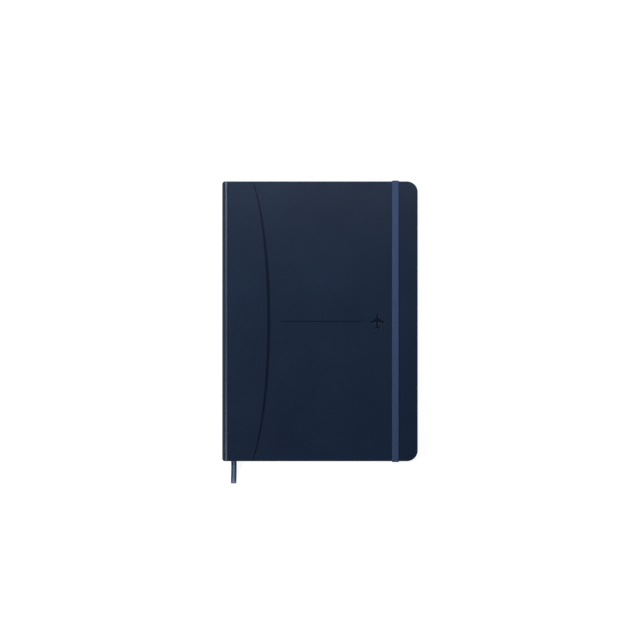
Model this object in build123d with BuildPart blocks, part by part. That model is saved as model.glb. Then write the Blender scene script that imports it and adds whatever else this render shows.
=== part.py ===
from build123d import *

import math
import os

# A5 hardcover pilot logbook, closed and lying on its back cover.
#
# A sewn, case-bound book: two greyboard covers and a spine board wrapped in
# leatherette, ten sewn signatures of eight leaves, endpapers, head and tail
# bands, a ribbon marker and an elastic closure band anchored in the back cover.
#
# Frame: +Z up out of the front cover, +Y towards the head of the book, +X
# towards the fore edge. The origin is the centre of the back cover's outer face.
# Lengths are in millimetres.

# ---------------------------------------------------------------- dimensions
CASE_W = 151.0  # spine's outer face to the fore edge
CASE_H = 216.0  # head to tail
CORNER_R = 8.4  # rounded fore-edge corners of the case
SPINE_CORNER_R = 1.6  # small rounding of the spine's ends, in plan

LEATHER_T = 0.40
BOARD_T = 1.85
TURN_IN_T = 0.15  # skived turn-in on the inside of a board
PASTE_T = 0.15  # pastedown over it
COVER_T = LEATHER_T + BOARD_T + TURN_IN_T + PASTE_T
TURN_IN_W = 14.0
LIE_GAP = 0.05  # air between a closed cover and the block

SIGNATURES = 10
SIGNATURE_T = 0.96  # eight leaves
FLYLEAF_T = 0.18
LEAF_GAP = 0.02  # air above and below the leaves that turn
PAGE_H = 210.0
PAGE_CORNER_R = 6.0
FOLD_X = 2.0  # the folds' backs, from the spine's outer face
PAGE_X = 148.2  # fore edge of the pages
GUTTER_X = 4.9  # where the sewn gutter of a turning leaf ends
TURN_X = 5.0  # where its turning part begins

JOINT_R = 4.2  # outer radius of the leather round each joint
BOARD_X = 5.2  # spine-side edge of both boards
SPINE_BOARD_T = 0.9

BAND_W = 5.2
BAND_T = 0.56
BAND_X = 133.85  # centre of the elastic band, from the spine
BAND_GAP = 0.07
BEND_R = 1.0  # the band's bends at the edges, on its centre line
EDGE_OUT = 0.40  # the band's centre line stands this far off the head and tail edges
LEG_Y0 = 99.0  # a leg starts here in its channel
# The elastic band passes in from the edge along a crushed channel, goes
# through a slot in the board and is glued down on the board's inner face.
CH_Y0, CH_DEPTH, CH_W, CH_LINER = 97.5, 0.65, BAND_W + 0.6, 0.3
SLOT_Y0, SLOT_Y1 = 96.4, 97.5
TAIL_Y0, TAIL_DEPTH = 80.0, 0.60

RIBBON_W = 4.2
RIBBON_T = 0.25
RIBBON_X = 8.65  # centre of the ribbon where it leaves the tail, from the spine
RIBBON_JOIN_Y = -103.0  # the ribbon is flat in the block down to here
RIBBON_BED = 6  # the signature whose top leaf the ribbon lies on
RIBBON_DENT = 0.3  # clearance of its dent, each side

ARC_X, ARC_A, ARC_B, ARC_W = 11.1, 24.9, 125.0, 2.0  # debossed elliptical arc
LINE_X0, LINE_X1, LINE_W = 43.8, 111.1, 0.7  # debossed line across the front
ARC_END = 106.4  # the arc stops this far from the middle, at the head and tail
EMBLEM_X = 120.0  # debossed aeroplane emblem
FUSELAGE = (0.95, 6.6)  # half width and half length
WING = [(0, 3.0), (5.7, -0.9), (5.7, -2.1), (0, -0.6), (-5.7, -2.1), (-5.7, -0.9)]
TAILPLANE = [(0, -3.7), (2.5, -5.5), (2.5, -6.3), (0, -5.5), (-2.5, -6.3), (-2.5, -5.5)]
DEBOSS = 0.20

RIM_R, TURN_RIM_R, BOARD_RIM_R = 0.9, 0.3, 0.5  # outer edge, inner edge, board's own edge
PASTE_BACK_X, PASTE_BACK_Y = 2.6, 2.8  # the pastedowns stop this far inside the edges

LINING_X, LINING_T, LINING_H = 1.6, 0.15, 206.0
MULL_X, MULL_T, MULL_H = 1.76, 0.20, 198.0
STATION_YS = (-92.0, -60.0, -20.0, 20.0, 60.0, 92.0)  # sewing stations
THREAD_R = 0.2
KERF_X, KERF_Y = 0.52, 0.7  # saw kerfs in the folds
FOLD_R = 0.42
BEAD_X, BEAD_Y, BEAD_R = 2.2, 0.8, 0.79  # head and tail bands' bead
ENDPAPER_X = 2.2  # folded edge of the endpapers

# -------------------------------------------------------------------- levels
S = -CASE_W / 2  # the spine's outer face
Z_BACK_IN = COVER_T
Z_REAR_FLY = Z_BACK_IN + LIE_GAP
Z_STACK = Z_REAR_FLY + FLYLEAF_T
Z_STACK_TOP = Z_STACK + (SIGNATURES - 1) * SIGNATURE_T
Z_FIRST = Z_STACK_TOP + LEAF_GAP
Z_FLY = Z_FIRST + SIGNATURE_T + LEAF_GAP
Z_FRONT_IN = Z_FLY + FLYLEAF_T + LIE_GAP
T = Z_FRONT_IN + COVER_T  # the front cover's outer face
BX = S + BAND_X
STATIONS = [(S + FOLD_X, y) for y in STATION_YS]
EDGE_Y = CASE_H / 2 + EDGE_OUT  # centre of the band down the head and tail edges
Z_CH = BAND_GAP + BAND_T / 2 - 0.02  # centre of the band in its channel
Z_TOP = T + BAND_GAP + BAND_T / 2  # centre of the band over the front cover
STRIP_END = EDGE_Y - BEND_R
Z_TAIL = LEATHER_T + BOARD_T - TAIL_DEPTH / 2
SLOT_Y = (SLOT_Y0 + SLOT_Y1) / 2
Z_RIBBON = Z_STACK_TOP - (RIBBON_BED - 2) * SIGNATURE_T - 0.02 - RIBBON_T / 2

# ------------------------------------------------------------ ribbon's route
# Flat satin ribbon: it lies between two signatures in a slight bow, leaves
# the block at the tail and hangs down to the table. Points are (from the
# spine's outer face, y), then (y, z) for the tail.
PLAN_ROUTE = [
    (5.3, 104.6),
    (7.4, 96.0),
    (8.7, 83.0),
    (9.5, 60.0),
    (9.9, 18.0),
    (9.8, -32.0),
    (9.2, -76.0),
    (RIBBON_X, -97.0),
    (RIBBON_X, -108.4),
]
TAIL_ROUTE = [
    (-97.0, Z_RIBBON),
    (-108.4, Z_RIBBON),
    (-113.8, 5.15),
    (-119.0, 1.35),
    (-125.7, 0.17),
]

os.makedirs("parts", exist_ok=True)


def save(builder, name):
    builder.part.label = name
    export_step(builder.part, f"parts/{name}.step")


def arc_x(y, a):
    """X of the debossed ellipse of semi-axis a at height y."""
    return S + ARC_X + a * math.sqrt(1 - (y / ARC_B) ** 2)


# --------------------------------------------------------------- front cover
with BuildPart() as front_board:
    with BuildSketch(Plane.XY.offset(T - LEATHER_T - BOARD_T)):
        with Locations((S + (BOARD_X + CASE_W - LEATHER_T) / 2, 0)):
            Rectangle(CASE_W - LEATHER_T - BOARD_X, CASE_H - 2 * LEATHER_T)
        fillet(vertices().group_by(Axis.X)[-1], CORNER_R - LEATHER_T)
    extrude(amount=BOARD_T)
    rim = faces().sort_by(Axis.Z)[-1].edges().sort_by(Axis.X)[1:]
    fillet(rim, BOARD_RIM_R)
save(front_board, "front_board")

with BuildPart() as front_leather:
    with BuildSketch(Plane.XY.offset(T - COVER_T + PASTE_T)):
        with Locations((S + (BOARD_X + CASE_W) / 2, 0)):
            Rectangle(CASE_W - BOARD_X, CASE_H)
        fillet(vertices().group_by(Axis.X)[-1], CORNER_R)
    extrude(amount=COVER_T - PASTE_T)
    rim = faces().sort_by(Axis.Z)[-1].edges().sort_by(Axis.X)[1:]
    fillet(rim, RIM_R)
    rim = faces().sort_by(Axis.Z)[0].edges().sort_by(Axis.X)[1:]
    fillet(rim, TURN_RIM_R)
    # the space the board fills, open at the joint
    with BuildSketch(Plane.XY.offset(T - LEATHER_T - BOARD_T)):
        with Locations((S + (BOARD_X + CASE_W - LEATHER_T) / 2, 0)):
            Rectangle(CASE_W - LEATHER_T - BOARD_X, CASE_H - 2 * LEATHER_T)
        fillet(vertices().group_by(Axis.X)[-1], CORNER_R - LEATHER_T)
    extrude(amount=BOARD_T, mode=Mode.SUBTRACT)
    # the board's own rounded rim is filled back in, so leather lies all over it
    with BuildSketch(Plane.XY.offset(T - LEATHER_T - 0.5)):
        with Locations((S + (BOARD_X + CASE_W - LEATHER_T) / 2, 0)):
            Rectangle(CASE_W - LEATHER_T - BOARD_X, CASE_H - 2 * LEATHER_T)
        fillet(vertices().group_by(Axis.X)[-1], CORNER_R - LEATHER_T)
    extrude(amount=0.5)
    add(front_board.part, mode=Mode.SUBTRACT)
    # the window that the turn-ins leave
    with BuildSketch(Plane.XY.offset(T - COVER_T + PASTE_T)):
        with Locations((S + (BOARD_X + CASE_W - TURN_IN_W) / 2, 0)):
            Rectangle(CASE_W - TURN_IN_W - BOARD_X, CASE_H - 2 * TURN_IN_W)
    extrude(amount=TURN_IN_T, mode=Mode.SUBTRACT)
    # debossed arc, wide in the middle and narrow at its ends
    with BuildSketch(Plane.XY.offset(T)) as arc_sketch:
        with BuildLine():
            ys = [ARC_END * k / 6 for k in range(-6, 7)]
            outer = Spline(*[(arc_x(y, ARC_A + ARC_W / 2), y) for y in ys])
            inner = Spline(*[(arc_x(y, ARC_A - ARC_W / 2), y) for y in ys])
            Line(outer @ 0, inner @ 0)
            Line(outer @ 1, inner @ 1)
        make_face()
    extrude(amount=-DEBOSS, mode=Mode.SUBTRACT)
    # debossed line
    with BuildSketch(Plane.XY.offset(T)):
        with Locations((S + (LINE_X0 + LINE_X1) / 2, 0)):
            SlotOverall(LINE_X1 - LINE_X0, LINE_W)
    extrude(amount=-DEBOSS, mode=Mode.SUBTRACT)
    # debossed aeroplane in plan view, nose to the head
    with BuildSketch(Plane.XY.offset(T)):
        with Locations((S + EMBLEM_X, 0)):
            Ellipse(*FUSELAGE)
            Polygon(*WING, align=None)
            Polygon(*TAILPLANE, align=None)
    extrude(amount=-DEBOSS, mode=Mode.SUBTRACT)
save(front_leather, "front_leather")

with BuildPart() as front_pastedown:
    with BuildSketch(Plane.XY.offset(Z_FRONT_IN)):
        with Locations((S + (BOARD_X + CASE_W - PASTE_BACK_X) / 2, 0)):
            Rectangle(CASE_W - PASTE_BACK_X - BOARD_X, CASE_H - 2 * PASTE_BACK_Y)
        fillet(vertices().group_by(Axis.X)[-1], PAGE_CORNER_R)
    extrude(amount=PASTE_T)
    # pressed down into the window between the turn-ins
    with BuildSketch(Plane.XY.offset(Z_FRONT_IN + PASTE_T)):
        with Locations((S + (BOARD_X + CASE_W - TURN_IN_W) / 2, 0)):
            Rectangle(CASE_W - TURN_IN_W - BOARD_X, CASE_H - 2 * TURN_IN_W)
    extrude(amount=TURN_IN_T)
save(front_pastedown, "front_pastedown")

# ---------------------------------------------------------------- back cover
with BuildPart() as back_board:
    with BuildSketch(Plane.XY.offset(LEATHER_T)):
        with Locations((S + (BOARD_X + CASE_W - LEATHER_T) / 2, 0)):
            Rectangle(CASE_W - LEATHER_T - BOARD_X, CASE_H - 2 * LEATHER_T)
        fillet(vertices().group_by(Axis.X)[-1], CORNER_R - LEATHER_T)
    extrude(amount=BOARD_T)
    rim = faces().sort_by(Axis.Z)[0].edges().sort_by(Axis.X)[1:]
    fillet(rim, BOARD_RIM_R)
    for sign in (1, -1):
        # crushed channel under the band
        with BuildSketch(Plane.XY.offset(LEATHER_T - 0.1)):
            with Locations((BX, sign * (CH_Y0 - CH_LINER + 109) / 2)):
                Rectangle(CH_W + 2 * CH_LINER, 109 - CH_Y0 + CH_LINER)
        extrude(amount=CH_DEPTH + 0.1, mode=Mode.SUBTRACT)
        # slot
        with BuildSketch(Plane.XY.offset(LEATHER_T - 0.1)):
            with Locations((BX, sign * (SLOT_Y0 + SLOT_Y1) / 2)):
                Rectangle(CH_W, SLOT_Y1 - SLOT_Y0)
        extrude(amount=BOARD_T + 0.2, mode=Mode.SUBTRACT)
        # recess for the glued end
        with BuildSketch(Plane.XY.offset(LEATHER_T + BOARD_T - TAIL_DEPTH)):
            with Locations((BX, sign * (TAIL_Y0 + SLOT_Y1) / 2)):
                Rectangle(CH_W, SLOT_Y1 - TAIL_Y0)
        extrude(amount=TAIL_DEPTH + 0.1, mode=Mode.SUBTRACT)
save(back_board, "back_board")

with BuildPart() as back_leather:
    with BuildSketch(Plane.XY):
        with Locations((S + (BOARD_X + CASE_W) / 2, 0)):
            Rectangle(CASE_W - BOARD_X, CASE_H)
        fillet(vertices().group_by(Axis.X)[-1], CORNER_R)
    extrude(amount=COVER_T - PASTE_T)
    rim = faces().sort_by(Axis.Z)[0].edges().sort_by(Axis.X)[1:]
    fillet(rim, RIM_R)
    rim = faces().sort_by(Axis.Z)[-1].edges().sort_by(Axis.X)[1:]
    fillet(rim, TURN_RIM_R)
    with BuildSketch(Plane.XY.offset(LEATHER_T)):
        with Locations((S + (BOARD_X + CASE_W - LEATHER_T) / 2, 0)):
            Rectangle(CASE_W - LEATHER_T - BOARD_X, CASE_H - 2 * LEATHER_T)
        fillet(vertices().group_by(Axis.X)[-1], CORNER_R - LEATHER_T)
    extrude(amount=BOARD_T, mode=Mode.SUBTRACT)
    with BuildSketch(Plane.XY.offset(LEATHER_T)):
        with Locations((S + (BOARD_X + CASE_W - LEATHER_T) / 2, 0)):
            Rectangle(CASE_W - LEATHER_T - BOARD_X, CASE_H - 2 * LEATHER_T)
        fillet(vertices().group_by(Axis.X)[-1], CORNER_R - LEATHER_T)
    extrude(amount=0.5)
    # leather pressed down into the two channels
    for sign in (1, -1):
        with BuildSketch(Plane.XY.offset(LEATHER_T)):
            with Locations((BX, sign * (CH_Y0 - CH_LINER + CASE_H / 2 - LEATHER_T) / 2)):
                Rectangle(CH_W + 2 * CH_LINER, CASE_H / 2 - LEATHER_T - CH_Y0 + CH_LINER)
        extrude(amount=CH_DEPTH)
    add(back_board.part, mode=Mode.SUBTRACT)
    for sign in (1, -1):
        with BuildSketch(Plane.XY.offset(-1)):
            with Locations((BX, sign * (CH_Y0 + 110) / 2)):
                Rectangle(CH_W, 110 - CH_Y0)
        extrude(amount=1 + CH_DEPTH, mode=Mode.SUBTRACT)
        with BuildSketch(Plane.XY.offset(-1)):
            with Locations((BX, sign * (SLOT_Y0 + SLOT_Y1 + 0.2) / 2)):
                Rectangle(CH_W, SLOT_Y1 + 0.2 - SLOT_Y0)
        extrude(amount=1 + LEATHER_T + BOARD_T, mode=Mode.SUBTRACT)
        # the channel's mouth is eased where the band turns up the edge
        with BuildSketch(Plane.YZ.offset(BX - CH_W / 2)):
            Polygon(
                (sign * 107.3, CH_DEPTH),
                (sign * 108.3, CH_DEPTH),
                (sign * 108.3, CH_DEPTH + 1.0),
                align=None,
            )
        extrude(amount=CH_W, mode=Mode.SUBTRACT)
    with BuildSketch(Plane.XY.offset(COVER_T - PASTE_T - TURN_IN_T)):
        with Locations((S + (BOARD_X + CASE_W - TURN_IN_W) / 2, 0)):
            Rectangle(CASE_W - TURN_IN_W - BOARD_X, CASE_H - 2 * TURN_IN_W)
    extrude(amount=TURN_IN_T, mode=Mode.SUBTRACT)
save(back_leather, "back_leather")

with BuildPart() as back_pastedown:
    with BuildSketch(Plane.XY.offset(COVER_T - PASTE_T)):
        with Locations((S + (BOARD_X + CASE_W - PASTE_BACK_X) / 2, 0)):
            Rectangle(CASE_W - PASTE_BACK_X - BOARD_X, CASE_H - 2 * PASTE_BACK_Y)
        fillet(vertices().group_by(Axis.X)[-1], PAGE_CORNER_R)
    extrude(amount=PASTE_T)
    with BuildSketch(Plane.XY.offset(COVER_T - PASTE_T - TURN_IN_T)):
        with Locations((S + (BOARD_X + CASE_W - TURN_IN_W) / 2, 0)):
            Rectangle(CASE_W - TURN_IN_W - BOARD_X, CASE_H - 2 * TURN_IN_W)
    extrude(amount=TURN_IN_T)
save(back_pastedown, "back_pastedown")

# ------------------------------------------------------------- elastic band
# Section in the YZ plane at the head; the tail is its mirror image.
for sign, where in ((1, "head"), (-1, "tail")):
    with BuildPart() as elastic_end:
        with BuildSketch(Plane.YZ.offset(BX - BAND_W / 2)):
            with Locations((sign * (TAIL_Y0 + 0.6 + SLOT_Y + BAND_T / 2) / 2, Z_TAIL)):
                Rectangle(SLOT_Y + BAND_T / 2 - TAIL_Y0 - 0.6, BAND_T)
            with Locations((sign * SLOT_Y, (Z_TAIL + Z_CH) / 2)):
                Rectangle(BAND_T, Z_TAIL - Z_CH + BAND_T)
            with Locations((sign * (SLOT_Y - BAND_T / 2 + LEG_Y0) / 2, Z_CH)):
                Rectangle(LEG_Y0 - SLOT_Y + BAND_T / 2, BAND_T)
        extrude(amount=BAND_W)
    save(elastic_end, f"elastic_end_{where}")

    with BuildPart() as elastic_leg:
        with BuildSketch(Plane.YZ.offset(BX - BAND_W / 2)):
            with BuildLine():
                path = FilletPolyline(
                    (sign * LEG_Y0, Z_CH),
                    (sign * EDGE_Y, Z_CH),
                    (sign * EDGE_Y, Z_TOP),
                    (sign * STRIP_END, Z_TOP),
                    radius=BEND_R - 0.001,
                )
                offset(path, amount=BAND_T / 2, side=Side.BOTH, closed=True, mode=Mode.REPLACE)
            make_face()
            # square ends
            with Locations((sign * (LEG_Y0 - 1), Z_CH)):
                Rectangle(2, 2, mode=Mode.SUBTRACT)
            with Locations((sign * (STRIP_END - 1), Z_TOP)):
                Rectangle(2, 2, mode=Mode.SUBTRACT)
        extrude(amount=BAND_W)
    save(elastic_leg, f"elastic_leg_{where}")

with BuildPart() as elastic_strip:
    with BuildSketch(Plane.XY.offset(T + BAND_GAP)):
        with Locations((BX, 0)):
            Rectangle(BAND_W, 2 * STRIP_END)
    extrude(amount=BAND_T)
    fillet(edges().filter_by(Axis.Y), 0.15)
save(elastic_strip, "elastic_strip")

# -------------------------------------------------------------------- spine
with BuildPart() as spine_board:
    with BuildSketch(Plane.XY.offset(JOINT_R + 0.1)):
        with Locations((S + LEATHER_T + SPINE_BOARD_T / 2, 0)):
            Rectangle(SPINE_BOARD_T, CASE_H - 2.0)
    extrude(amount=T - 2 * JOINT_R - 0.2)
save(spine_board, "spine_board")

with BuildPart() as spine_leather:
    with BuildSketch(Plane.XY.offset(JOINT_R)):
        with Locations((S + 10, 0)):
            Rectangle(20, CASE_H)
        fillet(vertices().group_by(Axis.X)[0], SPINE_CORNER_R)
        with Locations((S + LEATHER_T + 15, 0)):
            Rectangle(30, CASE_H + 10, mode=Mode.SUBTRACT)
    extrude(amount=T - 2 * JOINT_R)
save(spine_leather, "spine_leather")

for z_mid, flip, name in (
    (T - JOINT_R, 1, "front_hinge_leather"),
    (JOINT_R, -1, "back_hinge_leather"),
):
    with BuildPart() as hinge_leather:
        with BuildSketch(Plane.XZ.offset(-CASE_H / 2)):
            with BuildLine():
                ro, ri = JOINT_R, JOINT_R - LEATHER_T
                cx = S + JOINT_R
                k = math.sqrt(0.5)
                Line((S, z_mid), (S + LEATHER_T, z_mid))
                ThreePointArc(
                    (S + LEATHER_T, z_mid),
                    (cx - ri * k, z_mid + flip * ri * k),
                    (cx, z_mid + flip * ri),
                )
                Line((cx, z_mid + flip * ri), (S + BOARD_X, z_mid + flip * ri))
                Line((S + BOARD_X, z_mid + flip * ri), (S + BOARD_X, z_mid + flip * ro))
                Line((S + BOARD_X, z_mid + flip * ro), (cx, z_mid + flip * ro))
                ThreePointArc(
                    (cx, z_mid + flip * ro),
                    (cx - ro * k, z_mid + flip * ro * k),
                    (S, z_mid),
                )
            make_face()
        extrude(amount=CASE_H)
        with BuildSketch(Plane.XY.offset(-1)):
            with Locations((S + 10, 0)):
                Rectangle(20, CASE_H)
            fillet(vertices().group_by(Axis.X)[0], SPINE_CORNER_R)
        extrude(amount=T + 2, mode=Mode.INTERSECT)
    save(hinge_leather, name)

with BuildPart() as spine_lining:
    with BuildSketch(Plane.XY.offset(Z_STACK)):
        with Locations((S + LINING_X + LINING_T / 2, 0)):
            Rectangle(LINING_T, LINING_H)
    extrude(amount=Z_FIRST + SIGNATURE_T - Z_STACK)
save(spine_lining, "spine_lining")

with BuildPart() as spine_mull:
    with BuildSketch(Plane.XY.offset(Z_STACK)):
        with Locations((S + MULL_X + MULL_T / 2, 0)):
            Rectangle(MULL_T, MULL_H)
    extrude(amount=Z_FIRST + SIGNATURE_T - Z_STACK)
save(spine_mull, "spine_mull")

for sign, name in ((1, "head_band"), (-1, "tail_band")):
    with BuildPart() as end_band:
        # a bead along the head of the folds, with a tape glued down the spine
        with BuildSketch(Plane.XY.offset(Z_STACK + 0.1)):
            with Locations((S + BEAD_X, sign * (PAGE_H / 2 + BEAD_Y))):
                Circle(BEAD_R)
            with Locations((S + 1.49, sign * (PAGE_H / 2 - 6.1))):
                Rectangle(0.16, 14.0)
        extrude(amount=Z_FIRST + SIGNATURE_T - Z_STACK - 0.2)
    save(end_band, name)

# ------------------------------------------------------------ ribbon outlines
def corner_radii(points):
    """0.45 of the shorter run over the tangent of half the turn, at each corner."""
    out = []
    for a, b, c in zip(points, points[1:], points[2:]):
        u, v = Vector(*b) - Vector(*a), Vector(*c) - Vector(*b)
        half = math.radians(u.get_angle(v) / 2)
        out.append(0.45 * min(u.length, v.length) / math.tan(half))
    return out


plan_radii = corner_radii(PLAN_ROUTE)
tail_radii = corner_radii(TAIL_ROUTE)
print("ribbon radii mm, in plan:", [round(r, 1) for r in plan_radii])
print("ribbon radii mm, down the tail:", [round(r, 1) for r in tail_radii])

with BuildSketch(Plane.XY.offset(Z_RIBBON - RIBBON_T / 2)) as ribbon_plan:
    with BuildLine():
        plan_line = FilletPolyline(*[(S + x, y) for x, y in PLAN_ROUTE], radius=plan_radii)
        offset(plan_line, amount=RIBBON_W / 2, side=Side.BOTH, closed=True, mode=Mode.REPLACE)
    make_face()
    with Locations((S + RIBBON_X, (104.6 + RIBBON_JOIN_Y) / 2)):
        Rectangle(30, 104.6 - RIBBON_JOIN_Y, mode=Mode.INTERSECT)

with BuildSketch() as ribbon_dent:
    with BuildLine():
        dent_line = FilletPolyline(*[(S + x, y) for x, y in PLAN_ROUTE], radius=plan_radii)
        offset(dent_line, amount=RIBBON_W / 2 + RIBBON_DENT, side=Side.BOTH, closed=True, mode=Mode.REPLACE)
    make_face()
    with Locations((S + RIBBON_X, 0)):
        Rectangle(30, 212, mode=Mode.INTERSECT)

# --------------------------------------------------------------- text block
with BuildPart() as sewing_thread:
    with BuildSketch(Plane.XY.offset(Z_STACK + 0.2)):
        with Locations(*[(x + 0.25, y) for x, y in STATIONS]):
            Circle(THREAD_R)
    extrude(amount=Z_FIRST + SIGNATURE_T - Z_STACK - 0.4)
save(sewing_thread, "sewing_thread")

with BuildPart() as signature_01_gutter:
    with BuildSketch(Plane.XY.offset(Z_FIRST)):
        with Locations((S + (FOLD_X + GUTTER_X) / 2, 0)):
            Rectangle(GUTTER_X - FOLD_X, PAGE_H)
    extrude(amount=SIGNATURE_T)
    fillet(edges().filter_by(Axis.Y).group_by(Axis.X)[0], FOLD_R)
    with BuildSketch(Plane.XY.offset(Z_FIRST - 0.1)):
        with Locations(*[(x + 0.25, y) for x, y in STATIONS]):
            Rectangle(KERF_X, KERF_Y)
    extrude(amount=SIGNATURE_T + 0.2, mode=Mode.SUBTRACT)
save(signature_01_gutter, "signature_01_gutter")

with BuildPart() as signature_01_leaves:
    with BuildSketch(Plane.XY.offset(Z_FIRST)):
        with Locations((S + (TURN_X + PAGE_X) / 2, 0)):
            Rectangle(PAGE_X - TURN_X, PAGE_H)
        fillet(vertices().group_by(Axis.X)[-1], PAGE_CORNER_R)
    extrude(amount=SIGNATURE_T)
save(signature_01_leaves, "signature_01_leaves")

for n in range(2, SIGNATURES + 1):
    z0 = Z_STACK_TOP - (n - 1) * SIGNATURE_T
    with BuildPart() as signature:
        with BuildSketch(Plane.XY.offset(z0)):
            with Locations((S + (FOLD_X + PAGE_X) / 2, 0)):
                Rectangle(PAGE_X - FOLD_X, PAGE_H)
            fillet(vertices().group_by(Axis.X)[-1], PAGE_CORNER_R)
        extrude(amount=SIGNATURE_T)
        fillet(edges().filter_by(Axis.Y).group_by(Axis.X)[0], FOLD_R)
        # kerfs sawn across the fold for the thread
        with BuildSketch(Plane.XY.offset(z0 - 0.1)):
            with Locations(*[(x + 0.25, y) for x, y in STATIONS]):
                Rectangle(KERF_X, KERF_Y)
        extrude(amount=SIGNATURE_T + 0.2, mode=Mode.SUBTRACT)
        if n == RIBBON_BED:
            # the dent that the ribbon presses into the leaves
            with BuildSketch(Plane.XY.offset(z0 + SIGNATURE_T - RIBBON_T - 0.05)):
                add(ribbon_dent.sketch)
            extrude(amount=RIBBON_T + 0.1, mode=Mode.SUBTRACT)
    save(signature, f"signature_{n:02d}")

with BuildPart() as rear_flyleaf:
    with BuildSketch(Plane.XY.offset(Z_REAR_FLY)):
        with Locations((S + (TURN_X + PAGE_X) / 2, 0)):
            Rectangle(PAGE_X - TURN_X, PAGE_H)
        fillet(vertices().group_by(Axis.X)[-1], PAGE_CORNER_R)
    extrude(amount=FLYLEAF_T)
save(rear_flyleaf, "rear_flyleaf")

with BuildPart() as front_flyleaf:
    with BuildSketch(Plane.XY.offset(Z_FLY)):
        with Locations((S + (TURN_X + PAGE_X) / 2, 0)):
            Rectangle(PAGE_X - TURN_X, PAGE_H)
        fillet(vertices().group_by(Axis.X)[-1], PAGE_CORNER_R)
    extrude(amount=FLYLEAF_T)
save(front_flyleaf, "front_flyleaf")

# The folded gutter of each endpaper: one leg goes to the pastedown and the
# other to the flyleaf.
for z_fly, z_paste, name in (
    (Z_FLY, Z_FLY + FLYLEAF_T + 0.02, "front_endpaper_joint"),
    (Z_REAR_FLY, Z_REAR_FLY - 0.02 - FLYLEAF_T, "back_endpaper_joint"),
):
    with BuildPart() as endpaper_joint:
        with BuildSketch(Plane.XY.offset(z_fly)):
            with Locations((S + (ENDPAPER_X + GUTTER_X) / 2, 0)):
                Rectangle(GUTTER_X - ENDPAPER_X, PAGE_H)
        extrude(amount=FLYLEAF_T)
        with BuildSketch(Plane.XY.offset(z_paste)):
            with Locations((S + (ENDPAPER_X + BOARD_X - 0.05) / 2, 0)):
                Rectangle(BOARD_X - 0.05 - ENDPAPER_X, PAGE_H)
        extrude(amount=FLYLEAF_T)
        with BuildSketch(Plane.XY.offset(min(z_fly, z_paste))):
            with Locations((S + ENDPAPER_X + 0.1, 0)):
                Rectangle(0.2, PAGE_H)
        extrude(amount=2 * FLYLEAF_T + 0.02)
    save(endpaper_joint, name)

# ------------------------------------------------------------- ribbon marker
with BuildPart() as ribbon_marker:
    with BuildSketch(Plane.XY.offset(Z_RIBBON - RIBBON_T / 2)):
        add(ribbon_plan.sketch)
    extrude(amount=RIBBON_T)
    with BuildSketch(Plane.YZ.offset(S + RIBBON_X - RIBBON_W / 2)):
        with BuildLine():
            tail_line = FilletPolyline(*TAIL_ROUTE, radius=tail_radii)
            offset(tail_line, amount=RIBBON_T / 2, side=Side.BOTH, closed=True, mode=Mode.REPLACE)
        make_face()
        with Locations((RIBBON_JOIN_Y - 15, 5)):
            Rectangle(30, 10, mode=Mode.INTERSECT)
    extrude(amount=RIBBON_W)
save(ribbon_marker, "ribbon_marker")

RIBBON_LENGTH = plan_line.length + tail_line.length - 11.4
print("ribbon length mm:", round(RIBBON_LENGTH, 1))
print("length times section mm3:", round(RIBBON_LENGTH * RIBBON_W * RIBBON_T, 1), "volume mm3:", round(ribbon_marker.part.volume, 1))
print("thickness over the covers mm:", round(T, 3), "levels:", round(Z_TOP, 3), round(Z_RIBBON, 3))
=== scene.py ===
import math
import random

import bmesh
import bpy
import numpy as np
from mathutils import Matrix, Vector


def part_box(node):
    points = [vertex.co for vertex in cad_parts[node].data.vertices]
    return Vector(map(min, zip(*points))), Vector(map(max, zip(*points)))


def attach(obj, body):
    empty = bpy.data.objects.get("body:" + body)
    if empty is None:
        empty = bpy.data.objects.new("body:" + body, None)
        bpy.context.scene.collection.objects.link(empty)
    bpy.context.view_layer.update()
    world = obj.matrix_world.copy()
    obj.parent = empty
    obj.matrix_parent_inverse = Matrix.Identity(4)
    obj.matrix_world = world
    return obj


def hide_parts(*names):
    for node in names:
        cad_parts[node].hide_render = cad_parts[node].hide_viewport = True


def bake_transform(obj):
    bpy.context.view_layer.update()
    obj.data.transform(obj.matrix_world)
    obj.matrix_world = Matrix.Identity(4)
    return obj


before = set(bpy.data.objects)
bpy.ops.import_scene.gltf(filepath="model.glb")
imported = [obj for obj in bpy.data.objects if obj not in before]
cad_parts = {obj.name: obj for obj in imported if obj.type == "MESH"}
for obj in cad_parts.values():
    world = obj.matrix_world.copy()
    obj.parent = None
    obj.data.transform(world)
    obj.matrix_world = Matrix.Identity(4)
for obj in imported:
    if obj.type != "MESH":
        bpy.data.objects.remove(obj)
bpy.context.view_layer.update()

random.seed(7)
rng = np.random.default_rng(7)
scene = bpy.context.scene
MM = 0.001

# ------------------------------------------------------------------ positions
lea_lo, lea_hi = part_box("front_leather")
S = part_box("spine_leather")[0][0]  # the spine's outer face
T = lea_hi[2]  # the front cover's outer face

# ------------------------------------------------------------ camera, ribbon
cam_data = bpy.data.cameras.new("camera")
cam_data.sensor_width = 36.0
cam_data.lens = 220.0
camera = bpy.data.objects.new("camera", cam_data)
scene.collection.objects.link(camera)
WIDTH = 640 * 0.7714 * MM  # what the frame takes in, at the front cover
camera.location = (0.0001, 0.00099, T + WIDTH * cam_data.lens / cam_data.sensor_width)
camera.rotation_euler = (0, 0, 0)
cam_data.clip_end = 20
scene.camera = camera
scene.view_settings.view_transform = "Standard"
scene.view_settings.look = "None"
scene.view_settings.exposure = 0.0
scene.view_settings.gamma = 1.0

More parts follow.
